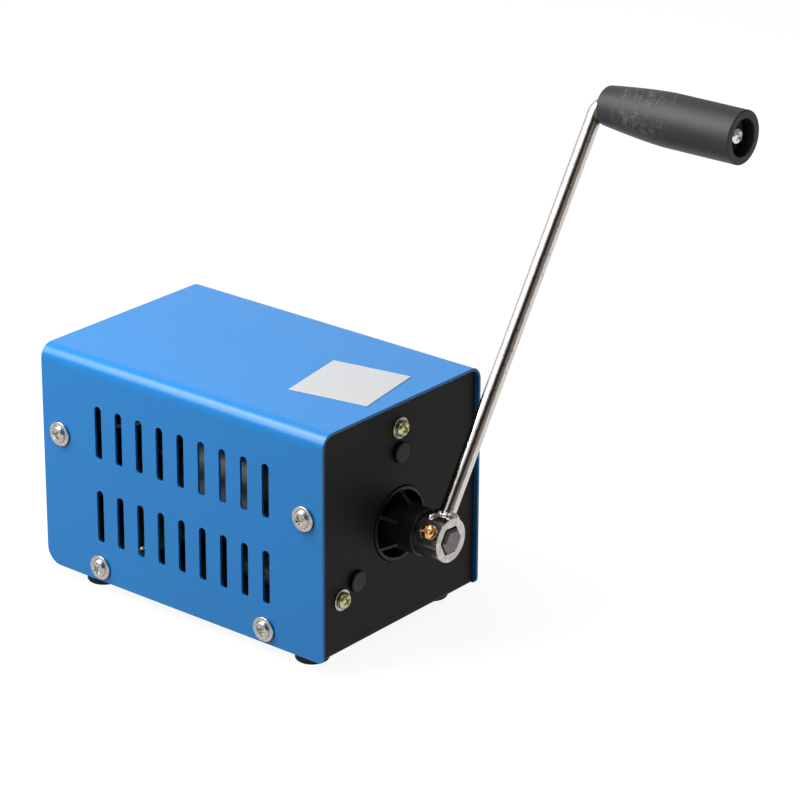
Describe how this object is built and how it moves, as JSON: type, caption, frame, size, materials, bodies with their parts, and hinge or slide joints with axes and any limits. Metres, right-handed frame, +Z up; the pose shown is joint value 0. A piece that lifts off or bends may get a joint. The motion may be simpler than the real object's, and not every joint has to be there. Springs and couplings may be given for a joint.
{
  "type": "hand crank generator",
  "caption": "Hand crank generator in a folded steel case on rubber feet, with a geared direct-current machine, a long bent crank and a turning grip.",
  "frame": {"origin": "on the table, under the middle of the case", "axes": "+Z up, +Y from the crank to the output sockets along the drive's axis, +X to the right as seen from the crank"},
  "size_m": [0.1342, 0.198, 0.1776],
  "materials": {
    "blue_paint": "satin",
    "black_paint": "matte",
    "bright_steel": "satin",
    "zinc_yellow_steel": "satin",
    "chromed_steel": "polished",
    "black_rubber": "matte",
    "black_plastic": "satin",
    "white_plastic": "satin",
    "foil": "satin",
    "bronze": "satin",
    "brass": "satin",
    "magnet": "matte",
    "laminations": "satin",
    "copper": "satin",
    "carbon": "matte",
    "board": "satin",
    "red_plastic": "gloss",
    "black_gloss": "gloss",
    "green_lamp": "gloss"
  },
  "bodies": {
    "housing": {"cover": "blue_paint", "chassis_base": "black_paint", "front_wall": "black_paint", "rear_wall": "black_paint", "wall_flanges": "black_paint", "cover_screws": "bright_steel", "rubber_feet": "black_rubber", "foot_screws": "bright_steel", "foot_nuts": "bright_steel", "label": "foil", "gearbox_nose": "black_plastic", "nose_bush": "bronze", "ring_gear": "black_plastic", "gearbox_cap": "black_plastic", "front_washers": "bright_steel", "front_screws": "zinc_yellow_steel", "cap_screws": "bright_steel", "motor_can": "bright_steel", "motor_screws": "bright_steel", "motor_magnets": "magnet", "motor_bushes": "bronze", "motor_end_cap": "black_plastic", "carbon_brushes": "carbon", "brush_arms": "brass", "circuit_board": "board", "board_standoffs": "brass", "board_screws": "bright_steel", "capacitor": "black_gloss", "inductor": "magnet", "regulator": "black_plastic", "usb_shell": "bright_steel", "usb_tongue": "white_plastic", "power_light": "green_lamp", "red_socket": "red_plastic", "black_socket": "black_gloss", "socket_contacts": "brass", "socket_nuts": "bright_steel", "red_wires": "red_plastic", "black_wires": "black_gloss"},
    "crank": {"input_shaft": "bright_steel", "first_carrier": "bright_steel", "shaft_clip": "bright_steel", "crank_sleeve": "bright_steel", "clamp_screws": "zinc_yellow_steel", "crank_arm": "chromed_steel", "grip_washer": "black_plastic", "grip_screw": "bright_steel"},
    "grip": {"grip": "black_plastic"},
    "first_planet_1": {"first_planet_1": "white_plastic"},
    "first_planet_2": {"first_planet_2": "white_plastic"},
    "first_planet_3": {"first_planet_3": "white_plastic"},
    "second_carrier": {"second_carrier": "bright_steel"},
    "second_planet_1": {"second_planet_1": "white_plastic"},
    "second_planet_2": {"second_planet_2": "white_plastic"},
    "second_planet_3": {"second_planet_3": "white_plastic"},
    "rotor": {"rotor_shaft": "bright_steel", "rotor_core": "laminations", "rotor_windings": "copper", "commutator": "copper", "motor_pinion": "brass"}
  },
  "joints": [
    {"name": "crank_spin", "type": "hinge", "parent": "housing", "child": "crank", "pos_m": [0, 0, 0.041], "axis": [0, -1, 0], "continuous": true},
    {"name": "grip_spin", "type": "hinge", "parent": "crank", "child": "grip", "pos_m": [0.08223, 0, 0.1686], "axis": [0, -1, 0], "continuous": true},
    {"name": "first_planet_1_spin", "type": "hinge", "parent": "crank", "child": "first_planet_1", "pos_m": [0, 0, 0.056], "axis": [0, -1, 0], "continuous": true},
    {"name": "first_planet_2_spin", "type": "hinge", "parent": "crank", "child": "first_planet_2", "pos_m": [-0.01299, 0, 0.0335], "axis": [0, -1, 0], "continuous": true},
    {"name": "first_planet_3_spin", "type": "hinge", "parent": "crank", "child": "first_planet_3", "pos_m": [0.01299, 0, 0.0335], "axis": [0, -1, 0], "continuous": true},
    {"name": "second_carrier_spin", "type": "hinge", "parent": "housing", "child": "second_carrier", "pos_m": [0, 0, 0.041], "axis": [0, -1, 0], "continuous": true},
    {"name": "second_planet_1_spin", "type": "hinge", "parent": "second_carrier", "child": "second_planet_1", "pos_m": [0, 0, 0.056], "axis": [0, -1, 0], "continuous": true},
    {"name": "second_planet_2_spin", "type": "hinge", "parent": "second_carrier", "child": "second_planet_2", "pos_m": [-0.01299, 0, 0.0335], "axis": [0, -1, 0], "continuous": true},
    {"name": "second_planet_3_spin", "type": "hinge", "parent": "second_carrier", "child": "second_planet_3", "pos_m": [0.01299, 0, 0.0335], "axis": [0, -1, 0], "continuous": true},
    {"name": "rotor_spin", "type": "hinge", "parent": "housing", "child": "rotor", "pos_m": [0, 0, 0.041], "axis": [0, -1, 0], "continuous": true}
  ],
  "couplings": [
    {"joint": "first_planet_1_spin", "follows": "crank_spin", "ratio": -2.6667},
    {"joint": "first_planet_2_spin", "follows": "crank_spin", "ratio": -2.6667},
    {"joint": "first_planet_3_spin", "follows": "crank_spin", "ratio": -2.6667},
    {"joint": "second_carrier_spin", "follows": "crank_spin", "ratio": 5},
    {"joint": "second_planet_1_spin", "follows": "crank_spin", "ratio": -13.333},
    {"joint": "second_planet_2_spin", "follows": "crank_spin", "ratio": -13.333},
    {"joint": "second_planet_3_spin", "follows": "crank_spin", "ratio": -13.333},
    {"joint": "rotor_spin", "follows": "crank_spin", "ratio": 25}
  ]
}
